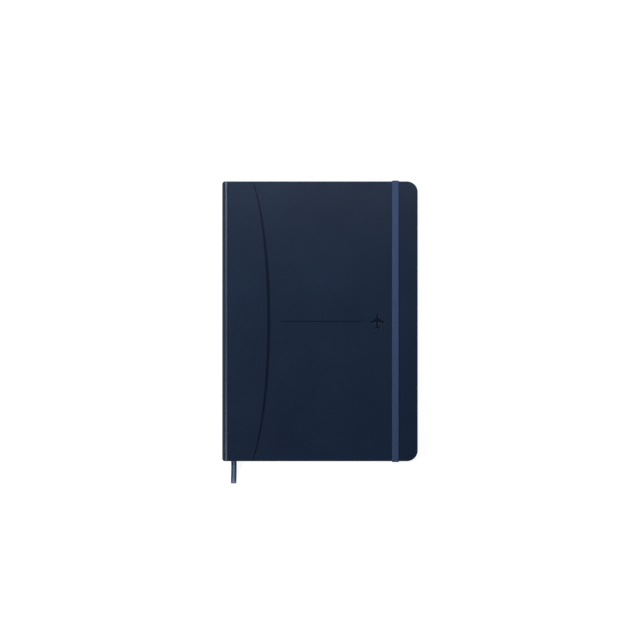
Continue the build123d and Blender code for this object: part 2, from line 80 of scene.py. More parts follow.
RIBBON_T = 0.25 * MM
RIBBON_W = 4.2 * MM
RIBBON_ROUTE = [
    (5.3, 104.6, 7.435),
    (7.4, 96.0, 7.435),
    (8.7, 83.0, 7.435),
    (9.5, 60.0, 7.435),
    (9.9, 18.0, 7.435),
    (9.8, -32.0, 7.435),
    (9.2, -76.0, 7.435),
    (8.85, -97.0, 7.435),
    (9.04, -108.4, 7.435),
    (9.00, -113.8, 5.15),
    (8.82, -119.0, 1.35),
    (8.60, -125.7, 0.17),
]


def new_object(name, data):
    ob = bpy.data.objects.new(name, data)
    scene.collection.objects.link(ob)
    return ob


def route_points(name, points, resolution=24):
    """Points along the smooth line that has these as its control points."""
    cu = bpy.data.curves.new(name, "CURVE")
    cu.dimensions = "3D"
    sp = cu.splines.new("NURBS")
    sp.points.add(len(points) - 1)
    for p, (x, y, z) in zip(sp.points, points):
        p.co = (x, y, z, 1)
    sp.order_u = 3
    sp.use_endpoint_u = True
    sp.resolution_u = resolution
    cu.resolution_u = resolution
    ob = new_object(name, cu)
    bpy.context.view_layer.update()
    me = bpy.data.meshes.new_from_object(ob.evaluated_get(bpy.context.evaluated_depsgraph_get()))
    pts = np.array([v.co[:] for v in me.vertices])
    bpy.data.meshes.remove(me)
    bpy.data.objects.remove(ob)
    bpy.data.curves.remove(cu)
    return pts


# --------------------------------------------------------------- mesh helpers
def add_mesh(name, verts, faces, materials, attrs=None, sharp_deg=40, face_mats=None, merge=0.0):
    me = bpy.data.meshes.new(name)
    me.from_pydata([tuple(map(float, v)) for v in verts], [], [tuple(map(int, f)) for f in faces])
    for m in materials:
        me.materials.append(m)
    if face_mats is not None:
        me.polygons.foreach_set("material_index", np.asarray(face_mats, np.int32))
    for key, values in (attrs or {}).items():
        a = me.attributes.new(key, "FLOAT", "POINT")
        a.data.foreach_set("value", np.asarray(values, np.float32))
    bm = bmesh.new()
    bm.from_mesh(me)
    if merge:
        bmesh.ops.remove_doubles(bm, verts=bm.verts, dist=merge)
    bmesh.ops.recalc_face_normals(bm, faces=bm.faces)
    limit = math.radians(sharp_deg)
    for f in bm.faces:
        f.smooth = True
    for e in bm.edges:
        if len(e.link_faces) == 2:
            e.smooth = e.calc_face_angle(0.0) < limit
    bm.to_mesh(me)
    bm.free()
    me.update()
    return new_object(name, me)


def quads(n, m, base=0, wrap_m=False):
    """Faces of an n by m grid of vertices, stored row by row."""
    out = []
    mm = m if wrap_m else m - 1
    for i in range(n - 1):
        for j in range(mm):
            k = (j + 1) % m
            out.append((base + i * m + j, base + (i + 1) * m + j, base + (i + 1) * m + k, base + i * m + k))
    return out


def smooth(a, b, x):
    t = np.clip((np.asarray(x, float) - a) / (b - a), 0, 1)
    return t * t * (3 - 2 * t)


# ------------------------------------------------------------------ materials
def material(name, color=(0.5, 0.5, 0.5), roughness=0.5, specular=0.5, **more):
    m = bpy.data.materials.new(name)
    m.use_nodes = True
    nt = m.node_tree
    b = nt.nodes["Principled BSDF"]
    b.inputs["Base Color"].default_value = (*color, 1)
    b.inputs["Roughness"].default_value = roughness
    b.inputs["Specular IOR Level"].default_value = specular
    for key, value in more.items():
        b.inputs[key.replace("_", " ")].default_value = value
    return m, nt, b


def node(nt, kind, inputs=None, **props):
    n = nt.nodes.new(kind)
    for k, v in props.items():
        setattr(n, k, v)
    for k, v in (inputs or {}).items():
        if hasattr(v, "is_output") or isinstance(v, bpy.types.NodeSocket):
            nt.links.new(v, n.inputs[k])
        else:
            n.inputs[k].default_value = v
    return n


def math_node(nt, op, a, b=None, c=None):
    ins = {0: a}
    if b is not None:
        ins[1] = b
    if c is not None:
        ins[2] = c
    return node(nt, "ShaderNodeMath", ins, operation=op).outputs[0]


def coords(nt):
    return node(nt, "ShaderNodeTexCoord").outputs["Object"]


def attribute(nt, name):
    return node(nt, "ShaderNodeAttribute", attribute_name=name).outputs["Fac"]


def noise(nt, vec, scale, detail=3.0, rough=0.5):
    return node(nt, "ShaderNodeTexNoise", {"Vector": vec, "Scale": scale, "Detail": detail, "Roughness": rough}).outputs["Fac"]


def ramp(nt, fac, stops):
    r = node(nt, "ShaderNodeValToRGB", {"Fac": fac})
    el = r.color_ramp.elements
    while len(el) < len(stops):
        el.new(0.5)
    for e, (pos, col) in zip(el, stops):
        e.position = pos
        e.color = (*col, 1) if len(col) == 3 else col
    return r.outputs["Color"]


def mix(nt, fac, a, b, blend="MIX"):
    n = nt.nodes.new("ShaderNodeMix")
    n.data_type = "RGBA"
    n.blend_type = blend
    for sock, v in ((n.inputs[0], fac), (n.inputs[6], a), (n.inputs[7], b)):
        if isinstance(v, bpy.types.NodeSocket):
            nt.links.new(v, sock)
        elif isinstance(v, tuple):
            sock.default_value = (*v, 1) if len(v) == 3 else v
        else:
            sock.default_value = v
    return n.outputs[2]


def bump(nt, b, height, strength, distance, normal=None):
    ins = {"Height": height, "Strength": strength, "Distance": distance}
    if normal is not None:
        ins["Normal"] = normal
    n = node(nt, "ShaderNodeBump", ins).outputs["Normal"]
    nt.links.new(n, b.inputs["Normal"])
    return n


def make_leather(name, dark, light):
    """Pebbled leatherette: grain cells about 0.9 mm across with fine pores; pressed parts are darker, partly as painted
    shade in the deboss grooves and along the joint's crease, and the edges are lighter, partly from wear and partly as
    a painted highlight on the rims and the spine's bend.
    """
    m, nt, b = material(name, light, 0.35, 0.16)
    vec = coords(nt)
    warp = node(nt, "ShaderNodeTexNoise", {"Vector": vec, "Scale": 420.0, "Detail": 2.0})
    shifted = node(nt, "ShaderNodeVectorMath", {0: warp.outputs["Color"], 1: (0.0011, 0.0011, 0.0011)}, operation="MULTIPLY").outputs[0]
    vec2 = node(nt, "ShaderNodeVectorMath", {0: vec, 1: shifted}, operation="ADD").outputs[0]
    cells = node(nt, "ShaderNodeTexVoronoi", {"Vector": vec2, "Scale": 1050.0, "Randomness": 1.0}, feature="DISTANCE_TO_EDGE").outputs["Distance"]
    small = node(nt, "ShaderNodeTexVoronoi", {"Vector": vec2, "Scale": 2600.0, "Randomness": 1.0}, feature="F1").outputs["Distance"]
    valley = node(nt, "ShaderNodeMapRange", {"Value": cells, "From Min": 0.0, "From Max": 0.22, "To Min": 0.0, "To Max": 1.0}, interpolation_type="SMOOTHSTEP").outputs[0]
    broad = noise(nt, vec, 26.0, 4.0, 0.55)
    fine = noise(nt, vec, 5200.0, 2.0)
    tone = math_node(nt, "MULTIPLY_ADD", valley, 0.35, math_node(nt, "MULTIPLY", broad, 0.65))
    col = ramp(nt, tone, [(0.2, dark), (0.75, light)])
    press_and_shade = attribute(nt, "press_and_shade")
    # darker where pressed: the debossing partly in its own colour and partly as painted shade in its grooves, the
    # joint's crease wholly as painted shade
    col = mix(nt, math_node(nt, "MULTIPLY", press_and_shade, 0.78), col, tuple(c * 0.40 for c in dark))
    wear_and_highlight = math_node(nt, "MULTIPLY", attribute(nt, "wear_and_highlight"), noise(nt, vec, 900.0, 4.0, 0.7))
    # lighter edges: partly wear, partly a painted highlight on the rims and along the spine's bend
    col = mix(nt, math_node(nt, "MULTIPLY", wear_and_highlight, 0.55), col, (0.036, 0.048, 0.074))
    nt.links.new(col, b.inputs["Base Color"])
    r = math_node(nt, "MULTIPLY_ADD", valley, -0.05, 0.355)
    r = math_node(nt, "MULTIPLY_ADD", broad, 0.05, r)
    r = math_node(nt, "MULTIPLY_ADD", press_and_shade, -0.08, r)
    # stretched round the joints it is smoother and shinier
    gloss = attribute(nt, "gloss")
    r = math_node(nt, "MULTIPLY_ADD", gloss, -0.14, r)
    nt.links.new(r, b.inputs["Roughness"])
    height = math_node(nt, "MULTIPLY_ADD", valley, 0.7, math_node(nt, "MULTIPLY", small, 0.3))
    height = math_node(nt, "MULTIPLY_ADD", fine, 0.12, height)
    height = math_node(nt, "MULTIPLY", height, math_node(nt, "MULTIPLY_ADD", gloss, -0.6, 1.0))
    first = bump(nt, b, height, 0.16, 0.00006)
    bump(nt, b, noise(nt, vec, 55.0, 3.0), 0.20, 0.00025, first)
    return m


def make_weave(name, dark, light, ribs, pick, roughness, sheen):
    """Ribbed woven elastic: lengthwise cords and slanting picks between them."""
    m, nt, b = material(name, light, roughness, 0.35, Sheen_Weight=sheen, Sheen_Roughness=0.45)
    al, ac = attribute(nt, "al"), attribute(nt, "ac")
    rib = math_node(nt, "MULTIPLY", ac, ribs)
    frac = math_node(nt, "FRACT", rib)
    tri = math_node(nt, "PINGPONG", rib, 1.0)
    across = math_node(nt, "SINE", math_node(nt, "MULTIPLY", frac, math.pi))
    slant = math_node(nt, "MULTIPLY_ADD", al, 1.0 / pick, math_node(nt, "MULTIPLY", tri, 0.9))
    picks = math_node(nt, "ABSOLUTE", math_node(nt, "SINE", math_node(nt, "MULTIPLY", slant, math.pi)))
    weave = math_node(nt, "MULTIPLY", across, picks)
    fuzz = noise(nt, coords(nt), 3600.0, 3.0, 0.6)
    tone = math_node(nt, "MULTIPLY_ADD", weave, 0.75, math_node(nt, "MULTIPLY", fuzz, 0.3))
    nt.links.new(ramp(nt, tone, [(0.1, dark), (0.85, light)]), b.inputs["Base Color"])
    height = math_node(nt, "MULTIPLY_ADD", fuzz, 0.25, weave)
    bump(nt, b, height, 0.6, 0.00009)
    return m


def make_ribbon(name):
    m, nt, b = material(name, (0.06, 0.09, 0.15), 0.40, 0.40)
    al, ac = attribute(nt, "al"), attribute(nt, "ac")
    end = attribute(nt, "end")
    threads = math_node(nt, "SINE", math_node(nt, "MULTIPLY", ac, 2 * math.pi * 44))
    picks = math_node(nt, "SINE", math_node(nt, "MULTIPLY", al, 2 * math.pi / 0.00034))
    twill = math_node(nt, "MULTIPLY_ADD", picks, 0.25, threads)
    streak = node(nt, "ShaderNodeTexNoise", {"Vector": node(nt, "ShaderNodeCombineXYZ", {0: math_node(nt, "MULTIPLY", ac, 0.02), 1: math_node(nt, "MULTIPLY", al, 0.08), 2: 0.0}).outputs[0], "Scale": 1500.0, "Detail": 3.0}).outputs["Fac"]
    tone = math_node(nt, "MULTIPLY_ADD", twill, 0.12, streak)
    col = ramp(nt, tone, [(0.3, (0.108, 0.162, 0.255)), (0.7, (0.180, 0.255, 0.375))])
    # the selvages are denser and darker; darkening the sides away from a middle just left of centre also paints shade
    # on the crowned ribbon's sides and a highlight down that middle
    side = math_node(nt, "ABSOLUTE", math_node(nt, "SUBTRACT", ac, 0.475))
    selvage_and_shade = node(nt, "ShaderNodeMapRange", {"Value": side, "From Min": 0.10, "From Max": 0.22}, interpolation_type="SMOOTHSTEP").outputs[0]
    col = mix(nt, math_node(nt, "MULTIPLY", selvage_and_shade, 0.93), col, (0.015, 0.031, 0.062))
    # heat-cut end
    col = mix(nt, math_node(nt, "MULTIPLY", end, 0.8), col, (0.20, 0.20, 0.26))
    nt.links.new(col, b.inputs["Base Color"])
    bump(nt, b, twill, 0.4, 0.00003)
    return m


def make_paper(name, base, dark, ruled=False, edge=False):
    m, nt, b = material(name, base, 0.85, 0.25)
    vec = coords(nt)
    mottling = noise(nt, vec, 140.0, 5.0, 0.6)
    fibre = noise(nt, vec, 2200.0, 4.0, 0.7)
    tone = math_node(nt, "MULTIPLY_ADD", fibre, 0.55, math_node(nt, "MULTIPLY", mottling, 0.45))
    col = ramp(nt, tone, [(0.3, dark), (0.7, base)])
    if edge:
        stretched = node(nt, "ShaderNodeMapping", {"Vector": vec, "Scale": (60.0, 60.0, 5200.0)}).outputs[0]
        lines = noise(nt, stretched, 1.0, 3.0, 0.6)
        col = mix(nt, 0.55, col, ramp(nt, lines, [(0.3, tuple(c * 0.62 for c in dark)), (0.65, base)]), "MULTIPLY")
    if ruled:
        sep = node(nt, "ShaderNodeSeparateXYZ", {0: vec})
        x, y = sep.outputs[0], sep.outputs[1]

        def within(v, lo, hi):
            return math_node(nt, "MULTIPLY", math_node(nt, "GREATER_THAN", v, lo), math_node(nt, "LESS_THAN", v, hi))

        def line_at(v, at, half):
            return math_node(nt, "COMPARE", v, at, half)

        x0, x1, y0, y1 = S + 0.016, S + 0.1415, -0.0945, 0.0905
        inside = math_node(nt, "MULTIPLY", within(x, x0 - 0.0001, x1 + 0.0001), within(y, y0 - 0.0001, y1 + 0.0001))
        # rows 6.5 mm apart under a head rule
        rows = math_node(nt, "FRACT", math_node(nt, "MULTIPLY_ADD", y, 1 / 0.0065, 40.0))
        ink = math_node(nt, "MULTIPLY", math_node(nt, "LESS_THAN", rows, 0.02), math_node(nt, "LESS_THAN", y, 0.0705))
        for at in (x0, x1, S + 0.033, S + 0.052, S + 0.071, S + 0.082, S + 0.093, S + 0.104, S + 0.115):
            ink = math_node(nt, "MAXIMUM", ink, line_at(x, at, 0.00007))
        for at in (y0, y1, 0.0715, 0.0812):
            ink = math_node(nt, "MAXIMUM", ink, line_at(y, at, 0.00012))
        ink = math_node(nt, "MULTIPLY", math_node(nt, "MULTIPLY", ink, inside), 0.75)
        col = mix(nt, ink, col, (0.16, 0.22, 0.30))
    nt.links.new(col, b.inputs["Base Color"])
    bump(nt, b, fibre, 0.18, 0.00004)
    return m


def make_fibrous(name, base, dark, scale, roughness=0.9, distance=0.0001):
    m, nt, b = material(name, base, roughness, 0.2)
    vec = coords(nt)
    n1, n2 = noise(nt, vec, scale, 6.0, 0.65), noise(nt, vec, scale * 9, 3.0, 0.6)
    tone = math_node(nt, "MULTIPLY_ADD", n2, 0.5, math_node(nt, "MULTIPLY", n1, 0.5))
    nt.links.new(ramp(nt, tone, [(0.32, dark), (0.68, base)]), b.inputs["Base Color"])
    bump(nt, b, tone, 0.5, distance)
    return m


def make_cloth(name, base, dark, pitch):
    """Plain open cloth in the YZ plane."""
    m, nt, b = material(name, base, 0.9, 0.2, Sheen_Weight=0.2)
    sep = node(nt, "ShaderNodeSeparateXYZ", {0: coords(nt)})
    a = math_node(nt, "SINE", math_node(nt, "MULTIPLY", sep.outputs[1], 2 * math.pi / pitch))
    c = math_node(nt, "SINE", math_node(nt, "MULTIPLY", sep.outputs[2], 2 * math.pi / pitch))
    w = math_node(nt, "MULTIPLY_ADD", math_node(nt, "MULTIPLY", a, c), 0.4, 0.5)
    nt.links.new(ramp(nt, w, [(0.25, dark), (0.75, base)]), b.inputs["Base Color"])
    bump(nt, b, w, 0.6, 0.0001)
    return m


def make_stripes(name, a, c, pitch):
    """Silk wraps of a head band, two by two in alternate colours."""
    m, nt, b = material(name, a, 0.5, 0.4, Sheen_Weight=0.3)
    al = attribute(nt, "al")
    f = math_node(nt, "FRACT", math_node(nt, "MULTIPLY", al, 1 / pitch))
    k = math_node(nt, "GREATER_THAN", f, 0.5)
    fuzz = noise(nt, coords(nt), 5000.0, 3.0)
    col = mix(nt, k, a, c)
    col = mix(nt, math_node(nt, "MULTIPLY", fuzz, 0.35), col, tuple(x * 0.4 for x in a))
    nt.links.new(col, b.inputs["Base Color"])
    bump(nt, b, math_node(nt, "SINE", math_node(nt, "MULTIPLY", al, 4 * math.pi / pitch)), 0.5, 0.00008)
    return m


NAVY_D, NAVY_L = (0.0061, 0.0121, 0.0262), (0.0090, 0.0179, 0.0376)
LEATHER = make_leather("leatherette", NAVY_D, NAVY_L)
ELASTIC = make_weave("woven_elastic", (0.010, 0.022, 0.058), (0.0255, 0.054, 0.138), 9.0, 0.00075, 0.52, 0.02)
RIBBON = make_ribbon("satin_ribbon")
PAGE = make_paper("page_paper", (0.80, 0.76, 0.66), (0.72, 0.675, 0.565))
RULED = make_paper("page_ruled", (0.80, 0.76, 0.66), (0.72, 0.675, 0.565), ruled=True)
PAGE_EDGE = make_paper("page_edges", (0.78, 0.73, 0.62), (0.66, 0.61, 0.50), edge=True)
ENDPAPER = make_paper("endpaper", (0.74, 0.71, 0.63), (0.66, 0.62, 0.53))
BOARD = make_fibrous("greyboard", (0.30, 0.27, 0.23), (0.17, 0.15, 0.13), 260.0)
LINING = make_fibrous("kraft_lining", (0.42, 0.31, 0.19), (0.30, 0.21, 0.12), 420.0)
THREAD = make_fibrous("linen_thread", (0.78, 0.75, 0.68), (0.60, 0.56, 0.48), 2500.0, distance=0.00005)
MULL = make_cloth("mull", (0.78, 0.75, 0.68), (0.45, 0.42, 0.36), 0.0009)
BANDING = make_stripes("silk_banding", (0.030, 0.045, 0.085), (0.36, 0.35, 0.32), 0.0014)

# -------------------------------------------------------------------- ribbon
route = [(S + x * MM, y * MM, z * MM) for x, y, z in RIBBON_ROUTE]
line = route_points("ribbon_line", route)
seg = np.linalg.norm(np.diff(line, axis=0), axis=1)
along = np.concatenate([[0], np.cumsum(seg)])
RIBBON_LENGTH = float(along[-1])
# even spacing of 1 mm along the same line
want = np.linspace(0, RIBBON_LENGTH, int(RIBBON_LENGTH / (1.0 * MM)) + 1)
line = np.stack([np.interp(want, along, line[:, k]) for k in range(3)], 1)
tan = np.gradient(line, axis=0)
tan /= np.linalg.norm(tan, axis=1)[:, None]
side = np.stack([-tan[:, 1], tan[:, 0], np.zeros(len(tan))], 1)
side /= np.linalg.norm(side, axis=1)[:, None]
up = np.cross(tan, side)
up *= np.sign(up[:, 2])[:, None]

NU = 17
us = np.linspace(-1, 1, NU)
half_t = RIBBON_T / 2 * np.where(np.abs(us) > 0.97, 0.5, 1.0)
free = smooth(-0.1055, -0.109, line[:, 1])  # 1 once it is out of the block
verts, al, ac, en = [], [], [], []
for i, (p, s_, n_) in enumerate(zip(line, side, up)):
    # a free ribbon is slightly crowned
    crown = free[i] * 0.16 * MM * (1 - us**2)
    w = RIBBON_W / 2 * (1 + 0.02 * free[i] + 0.04 * free[i] * smooth(-0.121, -0.1256, p[1]))
    ring = [p + s_ * u * w + n_ * (c + h) for u, h, c in zip(us, half_t, crown)]
    ring += [p + s_ * u * w + n_ * (c - h) for u, h, c in zip(us[::-1], half_t[::-1], crown[::-1])]
    verts += ring
    al += [want[i]] * (2 * NU)
    ac += list((us + 1) / 2) + list((us[::-1] + 1) / 2)
    e = float(smooth(RIBBON_LENGTH - 2.6 * MM, RIBBON_LENGTH - 1.6 * MM, want[i]))
    en += [e] * (2 * NU)
verts = np.array(verts)
verts[:, 2] = np.maximum(verts[:, 2], 0.00002)
# the end is cut square with a slightly melted, uneven edge
M2 = 2 * NU
tail = verts[-M2:]
tail[:, 1] += 0.00010 * np.sin(np.array(ac[-M2:]) * 31) + 0.0002 * (np.array(ac[-M2:]) - 0.5)
faces = quads(len(line), M2, wrap_m=True)
faces += [tuple(range(M2)), tuple(range(len(verts) - 1, len(verts) - M2 - 1, -1))]
ribbon = add_mesh("ribbon", verts, faces, [RIBBON], {"al": al, "ac": ac, "end": en}, 60)
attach(ribbon, "text_block")
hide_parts("ribbon_marker")


# ------------------------------------------------------------ covers' leather
def sdf_polygon(px, py, poly):
    d = np.full(px.shape, 1e9)
    s = np.ones(px.shape)
    n = len(poly)
    for i in range(n):
        ax, ay = poly[i]
        bx, by = poly[i - 1]
        ex, ey = bx - ax, by - ay
        wx, wy = px - ax, py - ay
        t = np.clip((wx * ex + wy * ey) / (ex * ex + ey * ey), 0, 1)
        d = np.minimum(d, np.hypot(wx - ex * t, wy - ey * t))
        c1, c2, c3 = py >= ay, py < by, ex * wy > ey * wx
        s = np.where((c1 & c2 & c3) | (~c1 & ~c2 & ~c3), -s, s)
    return s * d


WING = [(0, 3.0), (5.7, -0.9), (5.7, -2.1), (0, -0.6), (-5.7, -2.1), (-5.7, -0.9)]
TAILPLANE = [(0, -3.7), (2.5, -5.5), (2.5, -6.3), (0, -5.5), (-2.5, -6.3), (-2.5, -5.5)]


ARC_X = 11.33


def press_depth(x, y):
    """Depths and darkening, 0 to 1, of the debossing at x, y in mm, x from the spine's outer face; the darkening is
    partly the pressed leatherette's colour and partly painted shade in the grooves.
    """
    root = np.sqrt(np.clip(1 - (y / 125.0) ** 2, 0.01, 1))
    cx, hw = ARC_X + 24.9 * root, 1.0 * root
    u = np.abs(x - cx) / hw
    ends = 1 - smooth(105.2, 106.9, np.abs(y))
    arc, arc_dark = (1 - smooth(0.30, 1.20, u)) * ends, (1 - smooth(0.75, 1.60, u)) * ends
    dx = np.maximum(np.maximum(43.8 - x, x - 111.1), 0)
    along = (1 - smooth(0.0, 0.6, dx)) * (0.35 + 0.65 * smooth(0.0, 7.0, np.minimum(x - 43.8, 111.1 - x)))
    yr = np.abs(y + 0.08)
    rule, rule_dark = (1 - smooth(0.10, 0.52, yr)) * along, (1 - smooth(0.18, 0.62, yr)) * along
    ex, ey = x - 120.0, y
    ell = (np.hypot(ex / 0.95, ey / 6.6) - 1) * 0.95
    d = np.minimum(np.minimum(ell, sdf_polygon(ex, ey, WING)), sdf_polygon(ex, ey, TAILPLANE))
    mark = 1 - smooth(-0.16, 0.16, d)
    mark = np.where(np.abs(ex) < 8, mark, 0)
    return arc, rule, mark, np.maximum(np.maximum(arc_dark, rule_dark), mark)


CREASE, CREASE_W = 0.05, 0.45  # the pressed crease along each joint
CHANNEL_X = 133.85  # middle of the elastic band


def joint_crease_shade(x):
    """Painted shade along the bottom of the crease, 0 to 1."""
    return 0.42 * np.exp(-(((x - 5.1) / 0.60) ** 2))


def channels(x, y):
    """Crushed channels for the elastic in the back cover, and the slots at their ends; 0 to 1 each."""
    across = 1 - smooth(2.84, 2.98, np.abs(x - CHANNEL_X))
    ay = np.abs(y)
    chan = across * smooth(96.36, 96.46, ay)
    return chan, chan * (1 - smooth(97.44, 97.56, ay))


def cover_skin(front):
    """Closed leatherette shell of one cover, in mm from the spine and mirrored in Z for the back."""
    d0, rim, low = 1.6, 0.85, 0.3
    xl, xr, hy, r = 5.2, 151.0, 108.0, 8.4
    depth_total = 2.4
    xe_full = xr - d0
    phis = np.linspace(0, math.pi / 2, 25)
    yc = hy - r
    ys_arc = yc + (r - d0) * np.sin(phis)
    if front:
        up_half = np.concatenate([np.arange(0.0, 7.01, 0.14), np.arange(7.2, 99.3, 3.0), ys_arc])
    else:
        up_half = np.concatenate([[0.0, 3.5], np.arange(7.2, 95.0, 3.0), [95.8, 96.2, 96.36, 96.41, 96.46, 96.6, 97.3, 97.44, 97.5, 97.56, 97.7, 98.6], ys_arc])
    up_half = np.unique(up_half)
    ys = np.concatenate([-up_half[:0:-1], up_half])
    near = [0, 0.2, 0.45, 0.75, 1.1, 1.6]
    colsA = np.concatenate([np.array(near) / 12.0, np.linspace(0.22, 1, 9)[:-1]])
    offs = np.array([-2.6, -1.7, -1.35, -1.2, -1.05, -0.9, -0.75, -0.6, -0.45, -0.3, 0, 0.3, 0.45, 0.6, 0.75, 0.9, 1.05, 1.2, 1.35, 1.7, 2.6])
    colsC = np.linspace(0, 1, 22)[1:]
    if front:
        D = np.arange(113.9, 126.2, 0.13)
        E = np.linspace(128.5, 135.5, 4)
        turn = 136.0  # columns past here follow the rounded corners
    else:
        D = np.linspace(113.9, 126.2, 4)
        wall = np.array([2.7, 2.84, 2.91, 2.98, 3.2])
        E = np.concatenate([CHANNEL_X - wall[::-1], [CHANNEL_X - 1.3, CHANNEL_X + 1.3], CHANNEL_X + wall])
        turn = CHANNEL_X + 3.5
    F = np.linspace(turn + 0.5, xe_full, 10)
    rows = []
    for y in ys:
        root = math.sqrt(1 - (y / 125.0) ** 2)
        cx, hw = ARC_X + 24.9 * root, root
        a1 = cx + offs[0] * hw
        A = xl + colsA * (a1 - xl)
        B = cx + offs * hw
        c0 = B[-1]
        C = c0 + colsC * (D[0] - 0.5 - c0)
        ay = abs(y)
        xe = xe_full if ay <= yc else xr - r + math.sqrt(max((r - d0) ** 2 - (ay - yc) ** 2, 0))
        Fx = turn + (F - turn) * (xe - turn) / (xe_full - turn)
        rows.append(np.concatenate([A, B, C, D, E, Fx]))
    X = np.array(rows)
    Y = np.repeat(ys[:, None], X.shape[1], 1)
    nr, nc = X.shape
    if front:
        arc, rule, mark, press_and_shade = press_depth(X, Y)
        chan = slot = np.zeros_like(X)
    else:
        arc = rule = mark = press_and_shade = np.zeros_like(X)
        chan, slot = channels(X, Y)
    # shallow crease along the joint
    crease = CREASE * np.exp(-(((X - 5.0) / CREASE_W) ** 2))
    Z = -0.07 * arc - 0.035 * rule - 0.10 * mark - crease
    sunk = 0.65 * chan + 0.75 * slot
    # darkening of the debossing and the channels, plus painted shade along the joint's crease
    press_and_shade = np.maximum(np.maximum(press_and_shade, 0.5 * chan), joint_crease_shade(X)).ravel()
    chan = chan.ravel()
    verts = [(x, y, z) for x, y, z in zip(X.ravel(), Y.ravel(), (Z - sunk).ravel())]
    Z = Z.ravel()
    wear_and_highlight = [0.0] * len(verts)
    pr = list(press_and_shade)
    faces = quads(nr, nc)
    # boundary of the grid, from the head's spine end round the fore edge to the tail's
    idx = lambda i, j: i * nc + j
    loop, normals = [], []
    for j in range(nc):
        loop.append(idx(nr - 1, j))
        normals.append((0.0, 1.0))
    for i in range(nr - 2, 0, -1):
        y = ys[i]
        loop.append(idx(i, nc - 1))
        ay = abs(y)
        if ay > yc:
            s = (ay - yc) / (r - d0)
            normals.append((math.sqrt(max(1 - s * s, 0)), math.copysign(s, y)))
        else:
            normals.append((1.0, 0.0))
    for j in range(nc - 1, -1, -1):
        loop.append(idx(0, j))
        normals.append((0.0, -1.0))
    normals = np.array(normals)
    edge = np.array([(verts[k][0], verts[k][1]) for k in loop]) + normals * d0
    # (inside distance, depth, how much is left of the top's relief and of the channels)
    prof = [(1.2, 0.0, 0.9, 1.0)]
    for k in range(0, 9):
        phi = math.pi / 2 * k / 8
        prof.append((rim - rim * math.sin(phi), rim - rim * math.cos(phi), max(0.0, 0.8 - 0.12 * k), 1 - (k / 8) ** 2))
    prof += [(0.0, 1.3, 0.0, 0.0), (0.0, 1.75, 0.0, 0.0)]
    for k in range(0, 6):
        phi = math.pi / 2 * k / 5
        prof.append((low - low * math.cos(phi), depth_total - low + low * math.sin(phi), 0.0, 0.0))
    prof += [(1.4, depth_total, 0.0, 0.0), (5.0, depth_total, 0.0, 0.0), (8.2, depth_total, 0.0, 0.0)]
    ring_prev = loop
    n = len(loop)
    starts = []

    def join(ring):
        for k in range(n - 1):
            faces.append((ring_prev[k], ring_prev[k + 1], ring[k + 1], ring[k]))

    for d, z, keep, keep_chan in prof:
        start = len(verts)
        starts.append(start)
        pts = edge - normals * d
        for k in range(n):
            verts.append((pts[k, 0], pts[k, 1], -z + Z[loop[k]] * keep - 0.65 * chan[loop[k]] * keep_chan))
            # lighter along the rolled rim: partly wear, partly a painted highlight
            wear_and_highlight.append(float(math.exp(-((d - 0.25) / 0.35) ** 2)) if z < 1.6 else 0.3 * float(z > 1.9 and d < 0.6))
            pr.append(float(press_and_shade[loop[k]]) * keep)
        ring = list(range(start, start + n))
        join(ring)
        ring_prev = ring
    # the turn-ins' inner edge is a mitred rectangle
    xi, yi = xr - 14.0, hy - 14.0

    def rect_ring(z):
        for k in range(n):
            nx, ny = normals[k]
            x, y = edge[k]
            if abs(ny) > 0.999:
                p = (min(x, xi), math.copysign(yi, ny))
            elif nx > 0.999:
                p = (xi, max(-yi, min(yi, y)))
            else:
                p = (xi, math.copysign(yi, y))
            verts.append((p[0], p[1], z))

    def straight_ring(d, z):
        pts = edge - normals * d
        for k in range(n):
            verts.append((pts[k, 0], pts[k, 1], z))

    for make, args in (
        (rect_ring, (-depth_total,)),
        (rect_ring, (-depth_total + 0.15,)),
        (straight_ring, (8.2, -depth_total + 0.15)),
        (straight_ring, (0.4, -depth_total + 0.15)),
        (straight_ring, (0.4, -0.75)),
    ):
        starts.append(len(verts))
        make(*args)
        wear_and_highlight += [0.0] * n
        pr += [0.0] * n
        ring = list(range(starts[-1], starts[-1] + n))
        join(ring)
        ring_prev = ring
    # inner face, against the board
    start = len(verts)
    outer_z = np.array([v[2] for v in verts[: nr * nc]])
    inner_z = np.minimum(-0.40, outer_z - np.where(chan > 0.01, 0.3, 0.16))
    verts += [(x, y, z) for x, y, z in zip(X.ravel(), Y.ravel(), inner_z)]
    wear_and_highlight += [0.0] * (nr * nc)
    pr += [0.0] * (nr * nc)
    faces += [tuple(reversed(f)) for f in quads(nr, nc, base=start)]
    join([start + k for k in loop])
    # close the spine side: both grids' first columns and the ends of every ring
    first = [idx(i, 0) for i in range(nr)]
    head_end = [a for a in starts]
    tail_end = [a + n - 1 for a in starts]
    inner = [start + idx(i, 0) for i in range(nr)]
    faces.append(tuple(first + head_end + inner[::-1] + tail_end[::-1]))
    V = np.array(verts)
    out = np.empty_like(V)
    out[:, 0] = S + V[:, 0] * MM
    out[:, 1] = V[:, 1] * MM
    out[:, 2] = T + V[:, 2] * MM if front else -V[:, 2] * MM
    return out, faces, {"press_and_shade": pr, "wear_and_highlight": wear_and_highlight}


for side_name, front in (("front", True), ("back", False)):
    V, skin_faces, skin_attrs = cover_skin(front)
    skin = add_mesh(f"{side_name}_cover_skin", V, skin_faces, [LEATHER], skin_attrs, 50, merge=1e-7)
    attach(skin, f"{side_name}_cover")
    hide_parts(f"{side_name}_leather")


